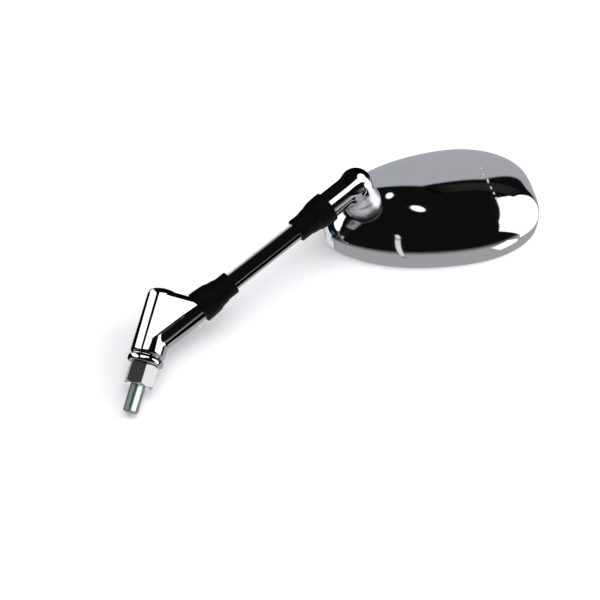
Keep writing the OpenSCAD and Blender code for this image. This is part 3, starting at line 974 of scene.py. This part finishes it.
# A pane far away, lit only for the head's pieces. Its corners are chart directions, laid in
# the plane across their mean, and soft is the share of its size over which it fades.
def addPane(name, corners, light, soft, color):
    dirs = [chartDir(x, y) for x, y in corners]
    mean = sum(dirs, Vector()).normalized()
    ring = [d * (studio["paneFar"] / d.dot(mean)) for d in dirs]
    middle = sum(ring, Vector()) / len(ring)
    inner = [middle + (p - middle) * (1 - soft) for p in ring]
    n = len(ring)
    faces = [(k, (k + 1) % n, n + (k + 1) % n, n + k) for k in range(n)]
    faces.append(tuple(range(n, 2 * n)))
    mesh = bpy.data.meshes.new(name)
    mesh.from_pydata([tuple(p) for p in ring + inner], [], faces)
    shares = mesh.attributes.new("share", "FLOAT", "POINT")
    shares.data.foreach_set("value", [0.0] * n + [1.0] * n)
    mesh.materials.append(paneMaterial(light, color))
    pane = bpy.data.objects.new(name, mesh)
    bpy.context.scene.collection.objects.link(pane)
    pane.location = Vector(headMid * mm)
    pane.visible_camera = False
    pane.visible_diffuse = False
    pane.visible_transmission = False
    pane.visible_shadow = False
    pane.light_linking.receiver_collection = headLit


# Corners of an ellipse on the chart
def oval(x, y, halfWide, halfTall, roll=0, n=12):
    c, r = math.cos(math.radians(roll)), math.sin(math.radians(roll))
    ring = []
    for k in range(n):
        u = halfWide * math.cos(2 * math.pi * k / n)
        v = halfTall * math.sin(2 * math.pi * k / n)
        ring.append((x + u * c - v * r, y + u * r + v * c))
    return ring


panes = [
    # name, corners on the chart, brightness, soft share
    (
        "paneTop",
        [(-50, 104), (-24, 54), (3, 42), (24, 46), (62, 60), (98, 74), (90, 100)],
        0.46, 0.05,
    ),
    ("paneShade", [(4, 40), (8, 33), (40, 37), (52, 50), (24, 45)], 0.02, 0.4),
    ("paneRight", [(28, 31), (33, 0), (38, -20), (100, -44), (104, 72)], 1.4, 0.03),
    ("paneLow", [(56, -82), (66, -53), (98, -47), (118, -45), (112, -82), (85, -90)], 1.3, 0.06),
    (
        "paneLeft",
        [(-62, -9), (-61, 24), (-52, 38), (-40, 40), (-36, 28), (-45, 10), (-56, -8)],
        1.4, 0.1,
    ),
    (
        "paneEdge",
        [
            (-150, -14), (-146, 40), (-120, 90), (-70, 128),
            (-52, 100), (-70, 70), (-88, 40), (-93, -12),
        ],
        0.8, 0.15,
    ),
    ("paneTail", [(-55, -9), (-61, -5), (-76, -36), (-66, -43)], 0.16, 0.5),
    ("paneBlue", oval(-81, -5, 8, 16, 8), 0.22, 0.4),
    ("paneGreen", oval(-79, -31, 9, 9), 0.08, 0.4),
    ("paneStreak", [(-9, -24), (-6, -24), (-11, -118), (-17, -118)], 0.8, 0.45),
    ("paneStreakHead", oval(-8, -26, 1.7, 7), 0.8, 0.4),
    ("paneDot", oval(2, 20, 2.1, 5.0, 25), 1.4, 0.25),
    ("paneDotHigh", oval(-8, 38, 1.7, 3.2), 1.3, 0.25),
]
sparks = [(23, 58), (24, 51), (26, 46), (27, 41), (28, 36), (29, 31)]
for k, (x, y) in enumerate(sparks):
    panes.append(("paneSpark%d" % k, oval(x, y, 0.5, 1.6), 0.9, 0.4))
tints = {
    "paneBlue": (0.2, 0.52, 1.0),
    "paneGreen": (0.35, 0.95, 1.0),
    "paneTop": (0.93, 0.95, 1.0),
}
for name, corners, light, soft in panes:
    addPane(name, corners, light, soft, tints.get(name, plainWhite))

# The room that the chrome shows behind the panes: nearly black above, grey below the table
world = bpy.data.worlds.new("studioWorld")
bpy.context.scene.world = world
world.use_nodes = True
wt = world.node_tree
wt.nodes.clear()
worldOut = wt.nodes.new("ShaderNodeOutputWorld")
wPaths = wt.nodes.new("ShaderNodeLightPath")
wCoord = wt.nodes.new("ShaderNodeTexCoord")
height = wt.nodes.new("ShaderNodeVectorMath")
height.operation = "DOT_PRODUCT"
wt.links.new(wCoord.outputs["Generated"], height.inputs[0])
height.inputs[1].default_value = chartDir(*studio["darkSide"])
ramp = wt.nodes.new("ShaderNodeMapRange")
ramp.interpolation_type = "SMOOTHSTEP"
wt.links.new(height.outputs["Value"], ramp.inputs["Value"])
ramp.inputs["From Min"].default_value = math.cos(math.radians(studio["greyFrom"]))
ramp.inputs["From Max"].default_value = math.cos(math.radians(studio["blackFrom"]))
ramp.inputs["To Min"].default_value = studio["belowGrey"]
ramp.inputs["To Max"].default_value = studio["blackRoom"]
gloss = wt.nodes.new("ShaderNodeBackground")
wt.links.new(ramp.outputs["Result"], gloss.inputs["Strength"])
gloss.inputs["Color"].default_value = (*plainWhite, 1)
plain = wt.nodes.new("ShaderNodeBackground")
plain.inputs["Color"].default_value = (1, 1, 1, 1)
plain.inputs["Strength"].default_value = studio["worldLight"]
white = wt.nodes.new("ShaderNodeBackground")
white.inputs["Color"].default_value = (1, 1, 1, 1)
white.inputs["Strength"].default_value = 1.0
glossMix = wt.nodes.new("ShaderNodeMixShader")
clearMix = wt.nodes.new("ShaderNodeMixShader")
wt.links.new(wPaths.outputs["Is Glossy Ray"], glossMix.inputs[0])
wt.links.new(plain.outputs[0], glossMix.inputs[1])
wt.links.new(gloss.outputs[0], glossMix.inputs[2])
clearRays = mathNode(
    wt, "MAXIMUM", wPaths.outputs["Is Camera Ray"], wPaths.outputs["Is Transmission Ray"]
)
wt.links.new(clearRays, clearMix.inputs[0])
wt.links.new(glossMix.outputs[0], clearMix.inputs[1])
wt.links.new(white.outputs[0], clearMix.inputs[2])
wt.links.new(clearMix.outputs[0], worldOut.inputs["Surface"])


# A rectangular lamp in the direction away from the place at, turned to face it. Its tall side
# points along the axis given, and is turned further by roll degrees.
def addLamp(name, at, away, far, wide, tall, power, roll=0, axis=along):
    data = bpy.data.lights.new(name, "AREA")
    data.shape = "RECTANGLE"
    data.size, data.size_y = wide, tall
    data.energy = power
    lamp = bpy.data.objects.new(name, data)
    bpy.context.scene.collection.objects.link(lamp)
    back = away.normalized()
    side = (axis.cross(back)).normalized()
    top = back.cross(side)
    turn = Matrix.Rotation(math.radians(roll), 3, back)
    m = Matrix.Identity(4)
    for col, line in enumerate((turn @ side, turn @ top, back)):
        for row in range(3):
            m[row][col] = line[row]
    m.translation = at + back * far
    lamp.matrix_world = m
    return lamp


# Lamps that light everything and don't show in the chrome
lamps = [
    # name, chart direction, distance and size in metres, power in watts
    ("mainLamp", (12, -2), 2.6, 1.3, 23.0),
    ("rightLamp", (49, 8), 2.6, 1.3, 22.0),
    ("leftLamp", (-14, 7), 2.6, 1.3, 17.0),
    ("lowLamp", (42, -42), 2.6, 1.3, 12.0),
    ("behindLamp", (70, -120), 1.2, 0.9, 8.0),
]
for name, at, far, size, power in lamps:
    lamp = addLamp(name, Vector(headMid * mm), chartDir(*at), far, size, size, power)
    lamp.visible_glossy = False


# Lamps that show in the chrome of one group of pieces only. The middle and the half extents
# are chart degrees, and the light is the brightness of the lamp's face.
def addGlossLamp(name, group, at, middle, halfWide, halfTall, light, roll=0, axis=along):
    far = studio["lampFar"]
    wide = 2 * far * math.tan(math.radians(halfWide))
    tall = 2 * far * math.tan(math.radians(halfTall))
    power = light * 4 * wide * tall
    lamp = addLamp(name, at, chartDir(*middle), far, wide, tall, power, roll, axis)
    lamp.visible_diffuse = False
    lamp.visible_camera = False
    lamp.data.use_shadow = False
    lamp.light_linking.receiver_collection = group
    if group in (studLit, nutLit, rodLit):
        return lamp
    # On the elbow and knuckle it shows once: a second reflection of it stays dark
    lamp.data.use_nodes = True
    nt = lamp.data.node_tree
    emission = nt.nodes["Emission"]
    ray = nt.nodes.new("ShaderNodeLightPath")
    once = mathNode(nt, "LESS_THAN", ray.outputs["Ray Depth"], studio["depthLimit"])
    nt.links.new(once, emission.inputs["Strength"])
    return lamp


elbowMid = Vector((0.004, 0, 0.045))
nutMid = Vector((0, 0, 0.007))
rodMid = Vector((stemFoot + 93 * stemAlong) * mm)
knuckleAt = Vector(knuckleMid * mm)
glossLamps = [
    # name, group, place, chart direction, half extents in degrees, brightness, roll, colour
    ("elbowLeft", elbowLit, elbowMid, (-60, 32), 13, 40, 1.15, 41, plainWhite),
    ("elbowMain", elbowLit, elbowMid, (-6, 1), 15, 10, 1.25, -13, plainWhite),
    ("elbowWeb", elbowLit, elbowMid, (17.5, -0.5), 14, 9.5, 1.25, 0, plainWhite),
    ("elbowRight", elbowLit, elbowMid, (78, -8), 26, 7, 1.15, 0, plainWhite),
    ("elbowLow", elbowLit, elbowMid, (90, -32), 12, 13, 0.9, 0, plainWhite),
    ("nutLeft", nutLit, nutMid, (-83, 107), 16, 30, 0.4, 0, plainWhite),
    ("nutMiddle", nutLit, nutMid, (-25, 3), 26, 40, 0.035, 0, plainWhite),
    ("nutRight", nutLit, nutMid, (90, -4), 22, 40, 0.82, 0, (1.0, 0.96, 0.97)),
    ("studLeft", studLit, nutMid, (-60, 26), 32, 68, 0.5, 0, (0.8, 1.0, 0.95)),
    ("studRight", studLit, nutMid, (58, -8), 40, 68, 2.6, 0, (0.84, 1.0, 0.98)),
    ("rodHigh", rodLit, rodMid, (-40, 98), 26, 18, 0.55, 0, plainWhite),
    ("rodEdge", rodLit, rodMid, (-36, 67), 20, 12, 0.16, 0, plainWhite),
    ("knuckleMain", knuckleLit, knuckleAt, (16, -21), 36, 16.5, 1.25, 43, plainWhite),
    ("knuckleRound", knuckleLit, knuckleAt, (41, 12), 29, 29, 1.0, 0, plainWhite),
    ("knuckleRight", knuckleLit, knuckleAt, (87, 0), 18, 25, 1.25, 0, plainWhite),
]
for name, group, at, middle, halfWide, halfTall, light, roll, color in glossLamps:
    lamp = addGlossLamp(name, group, at, middle, halfWide, halfTall, light, roll)
    lamp.data.color = color
    if name == "knuckleRound":
        lamp.data.shape = "ELLIPSE"

# Grey strips along the knuckle's horizon, side by side round the table's normal
knuckleEdges = {
    "polar": 101,
    "turns": (-28, -59, -90, -121),
    "halfWide": 15,
    "halfTall": 10,
    "light": 0.34,
}
for k, turn in enumerate(knuckleEdges["turns"]):
    a = math.radians(turn)
    at = (knuckleEdges["polar"] * math.cos(a), knuckleEdges["polar"] * math.sin(a))
    addGlossLamp(
        "knuckleEdge%d" % k, knuckleLit, knuckleAt, at,
        knuckleEdges["halfWide"], knuckleEdges["halfTall"], knuckleEdges["light"], axis=out,
    )

bpy.context.scene.view_settings.view_transform = "Standard"
print("studio set")
